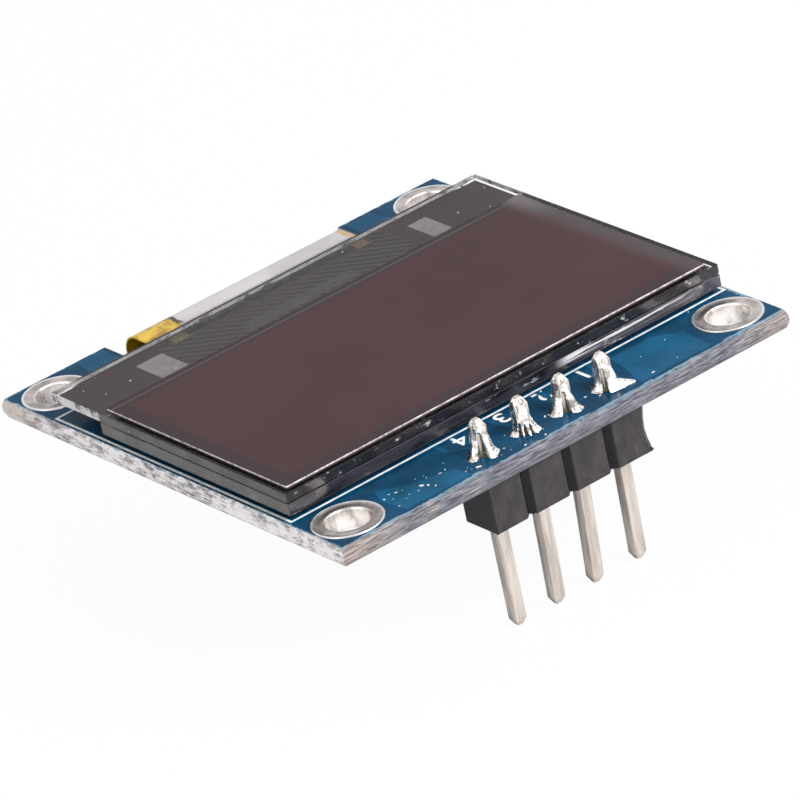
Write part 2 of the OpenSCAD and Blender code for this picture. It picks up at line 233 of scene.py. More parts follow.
class Finish:
    """One material and the few node patterns that it is mixed from, with patterns in millimetres."""

    def __init__(self, name, colour, roughness, metallic=0.0, **sockets):
        self.material = bpy.data.materials.new(name)
        self.material.use_nodes = True
        self.nodes, self.links = self.material.node_tree.nodes, self.material.node_tree.links
        self.surface = self.nodes["Principled BSDF"]
        self.set("Base Color", (*colour, 1))
        self.set("Roughness", roughness)
        self.set("Metallic", metallic)
        for key, value in sockets.items():
            self.set(key.replace("_", " "), value)

    def set(self, socket, value):
        if isinstance(value, bpy.types.NodeSocket):
            self.links.new(value, self.surface.inputs[socket])
        else:
            self.surface.inputs[socket].default_value = value

    def add(self, kind, **settings):
        node = self.nodes.new("ShaderNode" + kind)
        for key, value in settings.items():
            setattr(node, key, value)
        return node

    def feed(self, socket, value):
        if isinstance(value, bpy.types.NodeSocket):
            self.links.new(value, socket)
        elif socket.type == "RGBA":
            socket.default_value = (*value, 1)
        else:
            socket.default_value = value

    def where(self, stretch=(1, 1, 1), turn=(0, 0, 0), centre=(0, 0, 0)):
        """Place on the object in millimetres, which may be stretched or turned."""
        start = self.add("TexCoord").outputs["Object"]
        mapping = self.add("Mapping", vector_type="POINT")
        self.links.new(start, mapping.inputs["Vector"])
        mapping.inputs["Scale"].default_value = [s / MM for s in stretch]
        mapping.inputs["Rotation"].default_value = [math.radians(a) for a in turn]
        mapping.inputs["Location"].default_value = [-c for c in centre]
        return mapping.outputs["Vector"]

    def axis(self, letter):
        split = self.add("SeparateXYZ")
        self.links.new(self.where(), split.inputs[0])
        return split.outputs[letter]

    def facing(self, letter):
        """How much the surface faces along an axis, from 0 to 1."""
        split = self.add("SeparateXYZ")
        self.links.new(self.add("NewGeometry").outputs["True Normal"], split.inputs[0])
        return self.amount(split.outputs[letter])

    def noise(self, scale, detail=4, roughness=0.55, at=None):
        node = self.add("TexNoise")
        self.links.new(at or self.where(), node.inputs["Vector"])
        node.inputs["Scale"].default_value = scale
        node.inputs["Detail"].default_value = detail
        node.inputs["Roughness"].default_value = roughness
        return node.outputs["Fac"]

    def cells(self, scale, at=None):
        """Distance from the nearest of many scattered points."""
        node = self.add("TexVoronoi")
        self.links.new(at or self.where(), node.inputs["Vector"])
        node.inputs["Scale"].default_value = scale
        return node.outputs["Distance"]

    def waves(self, scale, distortion=0.0, at=None):
        node = self.add("TexWave")
        self.links.new(at or self.where(), node.inputs["Vector"])
        node.inputs["Scale"].default_value = scale
        node.inputs["Distortion"].default_value = distortion
        return node.outputs["Fac"]

    def maths(self, operation, a, b=0.0):
        node = self.add("Math", operation=operation)
        self.feed(node.inputs[0], a)
        self.feed(node.inputs[1], b)
        return node.outputs[0]

    def plus(self, a, b):
        return self.maths("ADD", a, b)

    def minus(self, a, b):
        return self.maths("SUBTRACT", a, b)

    def times(self, a, b):
        return self.maths("MULTIPLY", a, b)

    def most(self, a, b):
        return self.maths("MAXIMUM", a, b)

    def least(self, a, b):
        return self.maths("MINIMUM", a, b)

    def amount(self, value):
        """The value without its sign."""
        return self.maths("ABSOLUTE", value)

    def gap(self, a, b):
        """How far one value is from another."""
        return self.amount(self.minus(a, b))

    def range(self, value, low, high, to_low=0.0, to_high=1.0):
        """Brings a value from one range into another, and holds it there."""
        node = self.add("MapRange", interpolation_type="SMOOTHSTEP")
        sockets = ("Value", "From Min", "From Max", "To Min", "To Max")
        for socket, item in zip(sockets, (value, low, high, to_low, to_high)):
            self.feed(node.inputs[socket], item)
        return node.outputs["Result"]

    def patches(self, grain, low, high, to_low=0.0, to_high=1.0, at=None):
        """Cloudy patches; grain is the scale, detail and roughness of their noise."""
        return self.range(self.noise(*grain, at=at), low, high, to_low, to_high)

    def mix(self, factor, a, b):
        node = self.add("Mix", data_type="RGBA")
        self.feed(node.inputs["Factor"], factor)
        self.feed(node.inputs[6], a)
        self.feed(node.inputs[7], b)
        return node.outputs[2]

    def blend(self, factor, a, b):
        node = self.add("Mix", data_type="FLOAT")
        self.feed(node.inputs["Factor"], factor)
        self.feed(node.inputs[2], a)
        self.feed(node.inputs[3], b)
        return node.outputs[0]

    def bump(self, height, depth, strength=1.0):
        """Relief; depth is in millimetres."""
        node = self.add("Bump")
        node.inputs["Strength"].default_value = strength
        node.inputs["Distance"].default_value = depth * MM
        self.feed(node.inputs["Height"], height)
        self.set("Normal", node.outputs["Normal"])


def tinted(colour, share):
    return tuple(min(1, c * share) for c in colour)


# ---------------------------------------------------------------- finishes

BLUE_MASK = (0.0015, 0.052, 0.118)
BLUE_COPPER = (0.005, 0.085, 0.175)


def solder_mask(finish, colour):
    """Blue mask with mottling and small bright specks; returns its colour."""
    cloud = finish.patches((0.35, 5, 0.6), 0.36, 0.66)
    tone = finish.mix(cloud, tinted(colour, 0.72), tinted(colour, 1.22))
    speck = finish.range(finish.cells(1.3, at=finish.where(centre=(0.3, 0.2, 0))), 0.045, 0.03)
    speck = finish.times(speck, finish.patches((0.5, 2), 0.5, 0.62))
    return finish.mix(speck, tone, (0.42, 0.62, 0.74))


def make_board():
    low, high = place_of("circuit_board")
    finish = Finish("board_mask_and_fibre", BLUE_MASK, 0.3, Specular_IOR_Level=0.05)
    flat = finish.range(finish.facing("Z"), 0.85, 0.95)
    towards_header = finish.range(finish.facing("Y"), 0.5, 0.8)
    # How far a point lies inside the nearest long edge of the board
    in_x = finish.minus(high.x, finish.amount(finish.axis("X")))
    in_y = finish.minus(high.y, finish.amount(finish.axis("Y")))
    inside = finish.least(in_x, in_y)
    ragged = finish.patches((1.8, 6, 0.7), 0.3, 0.7, -0.10, 0.10)
    worn_place = finish.patches((0.35, 2), 0.5, 0.62, 0.0, 0.12)
    chipped = finish.range(finish.minus(finish.plus(inside, ragged), worn_place), 0.19, 0.11)
    mask = solder_mask(finish, BLUE_MASK)
    mask = finish.mix(finish.times(chipped, 0.7), mask, (0.30, 0.42, 0.50))
    along = finish.where(stretch=(0.22, 0.22, 4.2))
    streaks = finish.noise(3.6, 9, 0.7, at=along)
    flecks = finish.noise(2.6, 6, 0.7, at=finish.where(stretch=(0.6, 0.6, 1.6)))
    blotches = finish.noise(0.6, 5, 0.65, at=finish.where(centre=(3, 7, 1)))
    both = finish.plus(finish.times(finish.plus(streaks, flecks), 0.5), finish.range(blotches, 0.3, 0.7, -0.05, 0.06))
    pale = finish.mix(finish.range(both, 0.41, 0.54), (0.27, 0.25, 0.265), (0.93, 0.89, 0.89))
    sawn = finish.mix(finish.range(streaks, 0.38, 0.64), (0.055, 0.057, 0.075), (0.30, 0.30, 0.34))
    sawn = finish.mix(finish.range(flecks, 0.56, 0.66, 0.0, 0.35), sawn, (0.42, 0.42, 0.46))
    corner = finish.range(finish.axis("X"), high.x - 5.0, high.x - 0.5, 0.0, 0.75)
    far_corner = finish.range(finish.axis("X"), low.x + 3.5, low.x + 0.8, 0.0, 0.6)
    warm = finish.most(finish.range(blotches, 0.54, 0.66, 0.0, 0.35), finish.most(corner, far_corner))
    resin_tone = finish.mix(finish.range(streaks, 0.4, 0.6), (0.20, 0.155, 0.14), (0.55, 0.47, 0.43))
    sawn = finish.mix(warm, sawn, resin_tone)
    chalk = finish.mix(towards_header, pale, sawn)
    beige = finish.range(finish.axis("Y"), low.y + 4.5, low.y + 1.0, 0.0, 0.55)
    chalk = finish.mix(beige, chalk, (0.50, 0.42, 0.36))
    # Top rim of the edges: the mask running over it, with a painted light-blue highlight
    masked_rim_and_highlight = finish.plus(finish.axis("Z"), finish.patches((2.2, 5, 0.7), 0.3, 0.7, -0.12, 0.12))
    chalk = finish.mix(finish.range(masked_rim_and_highlight, 0.90, 1.02, 0.0, 0.7), chalk, (0.16, 0.32, 0.44))
    chalk = finish.mix(finish.range(finish.axis("Z"), 0.10, 0.02, 0.0, 0.7), chalk, (0.16, 0.15, 0.15))
    finish.set("Base Color", finish.mix(flat, chalk, mask))
    finish.set("Roughness", finish.blend(flat, 0.75, 0.26))
    fine = finish.blend(flat, streaks, finish.times(finish.noise(2.2, 3), 0.1))
    finish.bump(fine, 0.12, 0.6)
    return finish.material


def make_relief():
    finish = Finish("mask_over_copper", BLUE_COPPER, 0.26, Specular_IOR_Level=0.05)
    finish.set("Base Color", solder_mask(finish, BLUE_COPPER))
    finish.bump(finish.noise(2.2, 3), 0.02, 0.5)
    return finish.material


def make_metal(name, colour, roughness, dull, grain=6.0, depth=0.02, metallic=1.0):
    """Soft metal with cloudy tarnish and a fine grain."""
    finish = Finish(name, colour, roughness, metallic)
    cloud = finish.patches((grain * 0.35, 5, 0.65), 0.35, 0.68)
    finish.set("Base Color", finish.mix(cloud, dull, colour))
    finish.set("Roughness", finish.patches((grain, 4), 0.3, 0.7, roughness * 0.7, roughness * 1.5))
    finish.bump(finish.noise(grain, 5, 0.6), depth, 0.7)
    return finish.material


def make_ring():
    """Tinned copper, duller on the face of the ring than in the bore, with cloudy tarnish, painted shade as a dark
    crescent on one side of the face and a painted highlight along the raised rim.
    """
    high = place_of("hole_platings")[1]
    centre_x, centre_y = high.x - RING_RADIUS, high.y - RING_RADIUS
    finish = Finish("ring_tin", (0.62, 0.58, 0.56), 0.3, 1.0)
    across = finish.minus(finish.amount(finish.axis("X")), centre_x)
    along_side = finish.minus(finish.amount(finish.axis("Y")), centre_y)
    squares = [finish.maths("POWER", finish.amount(value), 2.0) for value in (across, along_side)]
    radius = finish.maths("SQRT", finish.plus(*squares))
    face = finish.range(radius, 1.14, 1.22)
    # Painted highlight along the raised outer rim
    rim = finish.range(finish.gap(radius, RING_RADIUS - 0.07), 0.1, 0.03)
    cloud = finish.noise(0.9, 5, 0.6)
    tarnish = finish.mix(finish.range(cloud, 0.36, 0.64), (0.30, 0.27, 0.265), (0.58, 0.53, 0.51))
    # Painted shade: a dark crescent on the inner part of the face, on the side towards the middle of the board
    gathered = finish.plus(finish.range(along_side, -0.5, -1.3, 0.0, 0.7), finish.range(cloud, 0.4, 0.6, -0.2, 0.2))
    gathered = finish.times(finish.range(gathered, 0.1, 0.7), finish.range(radius, 1.62, 1.45))
    # From here the tarnish colour also carries the painted shade crescent, and below it the painted rim highlight
    tarnish = finish.mix(gathered, tarnish, (0.14, 0.125, 0.125))
    tarnish = finish.mix(finish.times(rim, 0.75), tarnish, (0.82, 0.82, 0.84))
    bore = finish.noise(1.3, 5, 0.6, at=finish.where(stretch=(1, 1, 0.5)))
    bright = finish.mix(finish.range(bore, 0.34, 0.56), (0.50, 0.44, 0.41), (0.95, 0.90, 0.87))
    finish.set("Base Color", finish.mix(face, bright, tarnish))
    finish.set("Roughness", finish.patches((5, 4), 0.3, 0.7, 0.24, 0.42))
    finish.bump(finish.noise(2, 4, 0.55), 0.012, 0.5)
    return finish.material


def make_pin():
    finish = Finish("pin_plating", (0.60, 0.54, 0.49), 0.3, 0.85)
    drawn = finish.noise(1.6, 5, 0.6, at=finish.where(stretch=(2.5, 2.5, 0.25)))
    finish.set("Base Color", finish.mix(finish.range(drawn, 0.35, 0.65), (0.50, 0.435, 0.39), (0.70, 0.63, 0.575)))
    finish.set("Roughness", finish.range(drawn, 0.3, 0.7, 0.26, 0.40))
    finish.bump(drawn, 0.006, 0.5)
    return finish.material


def make_glass():
    """Clear glass, with painted shade along the middle of its back edge, on the strip past the end of the black
    backing.
    """
    low, high = place_of("front_glass")
    finish = Finish("panel_glass", (0.93, 0.925, 0.935), 0.02, IOR=1.2, Transmission_Weight=1.0, Specular_IOR_Level=0.2)
    smear = finish.patches((0.5, 4), 0.55, 0.75, 0.02, 0.05)
    # Painted shade: darker, less clear glass along the back edge
    edge = finish.range(finish.axis("Y"), low.y + 0.24, low.y + 0.16)
    middle = finish.range(finish.amount(finish.axis("X")), high.x - 1.0, high.x - 1.6)
    edge = finish.times(edge, middle)
    finish.set("Base Color", finish.mix(edge, (0.93, 0.925, 0.935), (0.035, 0.030, 0.035)))
    finish.set("Transmission Weight", finish.blend(edge, 1.0, 0.1))
    finish.set("Roughness", finish.blend(edge, smear, 0.2))
    return finish.material


def make_glass_side():
    """Cut edge of the front glass: dark where the panel lies behind it, broken and bright along the free ledge, with
    painted glints as small bright dots.
    """
    cap_low = place_of("cap_glass")[0]
    finish = Finish("panel_glass_edge", (0.03, 0.028, 0.03), 0.12, IOR=1.55)
    ledge = finish.range(finish.axis("Y"), cap_low.y + 0.15, cap_low.y - 0.15)
    header_side = finish.range(finish.facing("Y"), 0.5, 0.8)
    clear = finish.patches((0.9, 6, 0.7), 0.34, 0.56)
    along = finish.where(stretch=(0.8, 0.8, 1.4))
    chips = finish.patches((1.8, 8, 0.75), 0.60, 0.66, at=along)
    # Painted glints: small bright dots scattered over the edges
    bead_glints = finish.range(finish.cells(1.5, at=finish.where(centre=(0.4, 0.1, 0.2))), 0.09, 0.05)
    bead_glints = finish.times(bead_glints, finish.patches((0.4, 2), 0.48, 0.6))
    light = finish.most(finish.times(ledge, clear), finish.most(bead_glints, finish.times(chips, 0.6)))
    dark = finish.mix(finish.patches((0.8, 5, 0.65), 0.38, 0.62), (0.010, 0.009, 0.011), (0.050, 0.045, 0.048))
    dark = finish.mix(finish.times(header_side, 0.7), dark, (0.008, 0.007, 0.012))
    finish.set("Base Color", finish.mix(light, dark, (0.90, 0.90, 0.91)))
    finish.set("Roughness", finish.blend(light, 0.10, 0.5))
    finish.set("Transmission Weight", finish.times(ledge, 0.35))
    finish.bump(finish.noise(2.4, 5, 0.65, at=along), 0.03, 0.5)
    return finish.material


def make_cap():
    """Dark cap glass: smooth grey-brown on the short sides with painted greenish glints; on the side by the header,
    bright specks that are partly chips and partly painted glints, and a long painted reflection streak.
    """
    low, high = place_of("cap_glass")
    finish = Finish("cap_glass_dark", (0.02, 0.02, 0.02), 0.12, IOR=1.65)
    along = finish.where(stretch=(0.35, 0.35, 2.2))
    header_side = finish.range(finish.facing("Y"), 0.5, 0.8)
    x = finish.axis("X")
    z = finish.axis("Z")
    # Bright specks on the side by the header, partly chips and partly painted glints
    flakes_and_glints = finish.patches((2.2, 9, 0.78), 0.57, 0.66, at=along)
    gathered = finish.patches((0.45, 3, 0.6), 0.46, 0.60)
    flakes_and_glints = finish.times(flakes_and_glints, finish.times(gathered, header_side))
    lines = finish.patches((3.0, 3, 0.5), 0.46, 0.58, at=finish.where(stretch=(0.08, 0.08, 2.6)))
    # Painted reflection: a long bright streak near the top of the side by the header
    glint = finish.range(finish.gap(z, high.z - 0.20), 0.26, 0.10)
    reach = finish.range(finish.amount(finish.plus(x, 7.4)), 4.6, 3.4)
    glint = finish.times(finish.times(glint, reach), finish.times(header_side, lines))
    light = finish.most(flakes_and_glints, glint)
    shade_far = finish.range(x, low.x + 3.5, low.x + 12, 1.0, 0.0)
    shadows = finish.patches((0.7, 5, 0.65), 0.40, 0.62, at=along)
    dark = finish.mix(shadows, (0.004, 0.003, 0.006), (0.035, 0.032, 0.042))
    dark = finish.mix(finish.times(shade_far, 0.35), dark, (0.12, 0.115, 0.14))
    plain = finish.mix(finish.patches((0.8, 6, 0.65), 0.38, 0.62), (0.022, 0.018, 0.018), (0.050, 0.045, 0.043))
    # Painted glint: greenish patches on the short sides
    green_glint = finish.patches((0.5, 3), 0.62, 0.70, at=finish.where(centre=(0, 2, 0)))
    plain = finish.mix(finish.times(green_glint, 0.5), plain, (0.10, 0.16, 0.15))
    finish.set("Base Color", finish.mix(light, finish.mix(header_side, plain, dark), (0.80, 0.76, 0.78)))
    finish.set("Roughness", finish.blend(light, 0.12, 0.45))
    finish.bump(finish.noise(2.0, 5, 0.65, at=finish.where(stretch=(0.8, 0.8, 1.4))), 0.04, 0.5)
    return finish.material


def make_polarizer():
    low, high = place_of("polarizer")
    finish = Finish("polarizer_film", (0.057, 0.026, 0.029), 0.12, Specular_IOR_Level=0.06)
    from_near = finish.minus(high.y, finish.axis("Y"))
    from_far = finish.minus(finish.axis("Y"), low.y)
    from_left = finish.minus(high.x, finish.axis("X"))
    from_right = finish.minus(finish.axis("X"), low.x)
    inside = finish.least(finish.least(from_near, from_far), finish.least(from_left, from_right))
    border = finish.range(inside, 0.95, 0.6)
    cloud = finish.patches((0.16, 2), 0.35, 0.7)
    film = finish.mix(cloud, (0.053, 0.023, 0.026), (0.060, 0.027, 0.030))
    film = finish.mix(border, film, (0.040, 0.025, 0.030))
    # Painted reflection: a grey band along the -X side, strongest towards the far edge
    painted_sheen = finish.times(finish.range(from_right, 1.5, 0.35), finish.range(from_far, 0.5, 4.0, 1.0, 0.35))
    film = finish.mix(finish.times(painted_sheen, 0.8), film, (0.17, 0.15, 0.155))
    far_line = finish.range(finish.gap(from_far, 0.42), 0.09, 0.03)
    film = finish.mix(finish.times(far_line, 0.45), film, (0.14, 0.125, 0.13))
    side = finish.range(finish.facing("Z"), 0.85, 0.6)
    rim = finish.times(side, finish.range(finish.axis("Z"), high.z - 0.12, high.z - 0.05))
    worn = finish.patches((3.5, 6, 0.7), 0.35, 0.6, 0.35, 1.0)
    body = finish.mix(side, film, (0.06, 0.05, 0.055))
    finish.set("Base Color", finish.mix(finish.times(rim, worn), body, (0.86, 0.76, 0.76)))
    finish.set("Roughness", finish.blend(side, 0.12, 0.45))
    finish.bump(finish.noise(0.8, 4), 0.003, 0.3)
    return finish.material


def fan_tracks(finish):
    """Fine slanting tracks that spread from the driver chip; 1 on a track."""
    lines = finish.waves(0.67, 0.6, at=finish.where(turn=(0, 0, -45)))
    return finish.range(lines, 0.3, 0.85)


def make_resin():
    """Dark backing of the ledge with the fine metal tracks that fan out behind the glass."""
    finish = Finish("ledge_resin_dark", (0.03, 0.028, 0.032), 0.45, Specular_IOR_Level=0.2)
    lines = fan_tracks(finish)
    middle = finish.range(finish.gap(finish.axis("X"), 0.2), 7.4, 7.0)
    tracks = finish.times(lines, middle)
    cloud = finish.patches((0.3, 3), 0.4, 0.65)
    ground = finish.mix(cloud, (0.028, 0.017, 0.024), (0.038, 0.021, 0.026))
    between = finish.mix(cloud, (0.016, 0.012, 0.016), (0.024, 0.017, 0.021))
    ground = finish.mix(middle, ground, between)
    finish.set("Base Color", finish.mix(tracks, ground, (0.052, 0.043, 0.051)))
    finish.bump(lines, 0.01, 0.3)
    return finish.material


def make_flex():
    """Smooth film, dark with tracks near the glass, with a painted pale highlight over the bend and painted shade in
    its fold line, amber at one end and behind.
    """
    low, high = place_of("flex_cable")
    glass_edge = place_of("front_glass")[0].y
    finish = Finish("flex_film", (0.75, 0.36, 0.03), 0.3, Specular_IOR_Level=0.3)
    x = finish.axis("X")
    y = finish.axis("Y")
    wobble = finish.patches((0.5, 2), 0.3, 0.7, -0.15, 0.15)
    from_front = finish.plus(finish.minus(high.x, x), wobble)
    from_end = finish.plus(finish.minus(x, low.x), wobble)
    bare = finish.range(from_front, 2.35, 2.2)
    tan = finish.range(from_end, 0.35, 0.25)
    # Painted shade: a dark line in the crease at the edge of the amber end
    fold = finish.range(finish.gap(from_front, 2.35), 0.2, 0.1)
    fold = finish.times(fold, finish.range(y, glass_edge - 0.9, glass_edge - 1.3))
    glow = finish.patches((1.1, 6, 0.65), 0.36, 0.62)
    amber = finish.mix(glow, (0.26, 0.11, 0.004), (0.72, 0.47, 0.02))
    # Painted highlight: pale grey over the bend
    pale = finish.mix(finish.patches((0.3, 3, 0.6), 0.35, 0.65), (0.46, 0.43, 0.44), (0.58, 0.55, 0.56))
    pale = finish.mix(finish.range(y, glass_edge - 1.9, glass_edge - 2.7), pale, (0.47, 0.42, 0.44))
    near = finish.mix(fan_tracks(finish), (0.050, 0.040, 0.047), (0.085, 0.073, 0.083))
    grey = finish.mix(finish.range(y, glass_edge - 1.15, glass_edge - 0.72), pale, near)
    skin = finish.mix(bare, grey, amber)
    skin = finish.mix(tan, skin, (0.50, 0.34, 0.17))
    skin = finish.mix(fold, skin, (0.05, 0.02, 0.006))
    behind = finish.range(finish.axis("Z"), low.z + 0.75, low.z + 0.35)
    copper = finish.range(finish.waves(0.52), 0.5, 0.62)
    behind_tone = finish.mix(copper, (0.33, 0.13, 0.012), (0.50, 0.23, 0.03))
    skin = finish.mix(behind, skin, behind_tone)
    window = finish.range(finish.gap(y, glass_edge + 0.55), 0.4, 0.3)
    olive = finish.times(window, finish.range(finish.gap(from_front, 1.0), 0.55, 0.4))
    bonded = finish.mix(olive, (0.024, 0.018, 0.023), (0.12, 0.095, 0.035))
    other = finish.times(window, finish.range(finish.gap(from_end, 0.7), 0.5, 0.3))
    bonded = finish.mix(other, bonded, (0.14, 0.09, 0.06))
    below_glass = finish.range(y, glass_edge - 0.02, glass_edge + 0.04)
    under = finish.times(below_glass, finish.range(finish.axis("Z"), 1.7, 1.8))
    finish.set("Base Color", finish.mix(under, skin, bonded))
    finish.set("Roughness", finish.range(glow, 0.0, 1.0, 0.35, 0.16))
    finish.bump(finish.noise(1.2, 3), 0.02, 0.4)
    return finish.material


def make_plastic(name, colour, roughness, grain=9.0, depth=0.02):
    """Moulded plastic or ceramic with a fine grain."""
    finish = Finish(name, colour, roughness)
    cloud = finish.patches((grain * 0.2, 4), 0.35, 0.68)
    finish.set("Base Color", finish.mix(cloud, tinted(colour, 0.82), tinted(colour, 1.15)))
    finish.set("Roughness", finish.patches((grain, 3), 0.3, 0.7, roughness * 0.85, min(1, roughness * 1.2)))
    finish.bump(finish.noise(grain, 5), depth, 0.5)
    return finish.material


def make_header():
    """Moulded plastic, dull, with painted shade in the grooves where the blocks of the strip part and at its end."""
    pin_x = [pin_middle(number)[0] for number in PINS]
    pitch = pin_x[1] - pin_x[0]
    high = place_of("header_body")[1]
    finish = Finish("header_plastic", (0.040, 0.036, 0.040), 0.45, Specular_IOR_Level=0.3)
    share = finish.maths("FRACT", finish.maths("DIVIDE", finish.minus(finish.axis("X"), pin_x[0] - pitch / 2), pitch))
    groove = finish.range(finish.gap(share, 0.5), 0.37, 0.41)
    end = finish.range(finish.axis("X"), high.x - 0.08, high.x - 0.02)
    # Painted shade in the grooves between the blocks and at the +X end
    shade_part = finish.most(groove, finish.times(end, 0.6))
    cloud = finish.patches((1.6, 5, 0.65), 0.35, 0.68, at=finish.where(stretch=(1, 1, 0.5)))
    plastic = finish.mix(cloud, (0.028, 0.024, 0.027), (0.048, 0.042, 0.045))
    scratch = finish.patches((2.4, 8, 0.75), 0.60, 0.66, at=finish.where(stretch=(1, 1, 0.3), turn=(20, 10, 0)))
    plastic = finish.mix(finish.times(scratch, 0.35), plastic, (0.12, 0.105, 0.10))
    finish.set("Base Color", finish.mix(shade_part, plastic, (0.006, 0.005, 0.006)))
    finish.set("Roughness", finish.patches((6, 3), 0.3, 0.7, 0.36, 0.55))
    finish.bump(finish.noise(7, 6, 0.65), 0.03, 0.5)
    return finish.material


def make_joint():
    """Solder with the brown flux that stays in its folds."""
    finish = Finish("joint_solder", (0.92, 0.90, 0.88), 0.2, 1.0)
    fold = finish.add("Attribute", attribute_name="flux").outputs["Fac"]
    stain = finish.range(finish.plus(fold, finish.patches((5, 6, 0.7), 0.3, 0.7, -0.25, 0.25)), 0.35, 0.6)
    dull = finish.noise(2.2, 6, 0.7)
    metal = finish.mix(finish.range(dull, 0.40, 0.54), (0.42, 0.39, 0.36), (0.98, 0.97, 0.96))
    glint = finish.range(finish.cells(3.5), 0.16, 0.1)
    tone = finish.mix(finish.times(glint, 0.8), (0.075, 0.062, 0.030), (0.85, 0.80, 0.70))
    finish.set("Base Color", finish.mix(stain, metal, tone))
    finish.set("Metallic", finish.blend(stain, 1.0, 0.15))
    finish.set("Roughness", finish.blend(stain, 0.18, 0.3))
    finish.bump(finish.noise(4, 5), 0.035, 0.6)
    return finish.material


board_finish = make_board()
relief_finish = make_relief()
ring_finish = make_ring()
solder_finish = make_metal("part_solder_tin", (0.84, 0.84, 0.84), 0.25, (0.6, 0.6, 0.6))
patch_finish = make_metal("ledge_patch", (0.36, 0.325, 0.33), 0.4, (0.30, 0.27, 0.275), grain=3, depth=0.005)
joint_finish = make_joint()
pin_finish = make_pin()
glass_finish = make_glass()
glass_side_finish = make_glass_side()
cap_finish = make_cap()
polarizer_finish = make_polarizer()
resin_finish = make_resin()
flex_finish = make_flex()
header_finish = make_header()
case_finish = make_plastic("moulded_case", (0.022, 0.022, 0.024), 0.5)
chip_finish = make_plastic("driver_chip_silicon", (0.03, 0.03, 0.035), 0.3, depth=0.005)
tape_finish = make_plastic("foam_tape_black", (0.02, 0.02, 0.022), 0.9, depth=0.06)
seal_finish = make_plastic("edge_glue", (0.035, 0.033, 0.033), 0.3)
dryer_finish = make_plastic("drying_sheet_white", (0.72, 0.72, 0.70), 0.9)
emitter_finish = make_plastic("emitting_film", (0.018, 0.014, 0.015), 0.25, depth=0.003)
ceramic_tan = make_plastic("capacitor_ceramic", (0.42, 0.27, 0.15), 0.5)
ceramic_black = make_plastic("resistor_coat", (0.012, 0.012, 0.014), 0.35)
ceramic_white = make_plastic("resistor_ceramic", (0.75, 0.74, 0.72), 0.55)
silk_finish = make_plastic("silk_ink", (0.86, 0.90, 0.92), 0.6, depth=0.01)
dust_finish = make_plastic("dust_white", (0.80, 0.78, 0.79), 0.8)

# ---------------------------------------------------------------- solids of the frame that keep their shape

for node, finish in (("circuit_board", board_finish), ("foam_tape", tape_finish), ("edge_seal", seal_finish),
                     ("drying_sheet", dryer_finish), ("emitting_layers", emitter_finish),
                     ("driver_chip", chip_finish), ("ledge_resin", resin_finish), ("metal_patches", patch_finish),
                     ("flex_solder", solder_finish), ("part_solder", solder_finish)):
    paint(node, finish)

board_low, board_high = place_of("circuit_board")
BOARD_TOP = board_high.z


# ---------------------------------------------------------------- tinned rings of the mounting holes

def build_rings():
    low, high = place_of("hole_platings")
    bore, outer = RING_BORE, RING_RADIUS
    face = [(bore, -0.08), (bore + 0.012, 0.0), (bore + 0.05, 0.036), (bore + 0.12, 0.046), (bore + 0.26, 0.030),
            (outer - 0.24, 0.026), (outer - 0.13, 0.045), (outer - 0.08, 0.068), (outer - 0.04, 0.066),
            (outer - 0.01, 0.040), (outer, 0.0)]
    top = [(r, BOARD_TOP + z) for r, z in face]
    bottom = [(r, -z * 0.7) for r, z in reversed(face[1:])]
    profile = top + [(bore + 0.05, BOARD_TOP - 0.1), (bore + 0.05, 0.1)] + bottom + [(bore, 0.08)]
    rings = []
    for x in (low.x + outer, high.x - outer):
        for y in (low.y + outer, high.y - outer):
            rings.append(turned("ring", profile, (x, y), steps=96, closed=True))
    piece = joined("hole_rings", rings)
    shade(piece, 50)
    dress(piece, ring_finish, "tin", "hole_platings")


build_rings()


# ---------------------------------------------------------------- glass panel

def build_panel():
    low, high = place_of("front_glass")
    front = block("front_glass_sheet", (low.x, low.y, low.z - 0.004), (high.x, high.y, high.z - 0.004))
    rounded(front, 0.035, 2)
    front.data.materials.append(None)
    front.data.materials.append(None)
    for polygon in front.data.polygons:
        polygon.material_index = 1 if abs(polygon.normal.z) < 0.5 else 0
    dress(front, [glass_finish, glass_side_finish], "glass", "front_glass")

    low, high = place_of("cap_glass")
    cap = block("cap_glass_sheet", low, (high.x, high.y, high.z - 0.006))
    edit(cap)
    pick("FACE", lambda v: v.z > high.z - 0.1)
    bpy.ops.mesh.inset(thickness=RIM_WIDTH)
    extrude((0, 0, -RECESS_DEPTH))
    done()
    rounded(cap, 0.03, 2)
    dress(cap, cap_finish, "cap", "cap_glass")

    low, high = place_of("polarizer")
    film = block("polarizer_film", low, high)
    edit(film)
    pick_upright_edges(film)
    bpy.ops.mesh.bevel(offset=0.12, segments=3)
    done()
    rounded(film, 0.03, 2, 60)
    dress(film, polarizer_finish, "polarizer", "polarizer")


build_panel()


# ---------------------------------------------------------------- flex cable

def build_flex():
    low, high = place_of("flex_cable")
    outer = (high.z - low.z) / 2
    middle_y, middle_z = low.y + outer, (low.z + high.z) / 2
    tail_end = middle_y + FLEX_TAIL
    turns = 20

    def bend(radius):
        """The bend, from the top round to the back."""
        angles = [math.pi * k / turns for k in range(turns + 1)]
        return [(middle_y - radius * math.sin(a), middle_z + radius * math.cos(a)) for a in angles]

    outside = [(high.y, high.z)] + bend(outer) + [(tail_end, low.z)]
    inside = [(high.y, high.z - FLEX_THICKNESS)] + bend(outer - FLEX_THICKNESS) + [(tail_end, low.z + FLEX_THICKNESS)]
    outline = [(low.x, y, z) for y, z in outside + inside[::-1]]
    piece = pushed_out("flex_strip", outline, (high.x - low.x, 0, 0))
    rounded(piece, 0.015, 1, 60)
    shade(piece, 40)
    dress(piece, flex_finish, "flex", "flex_cable")


build_flex()


# ---------------------------------------------------------------- pin header

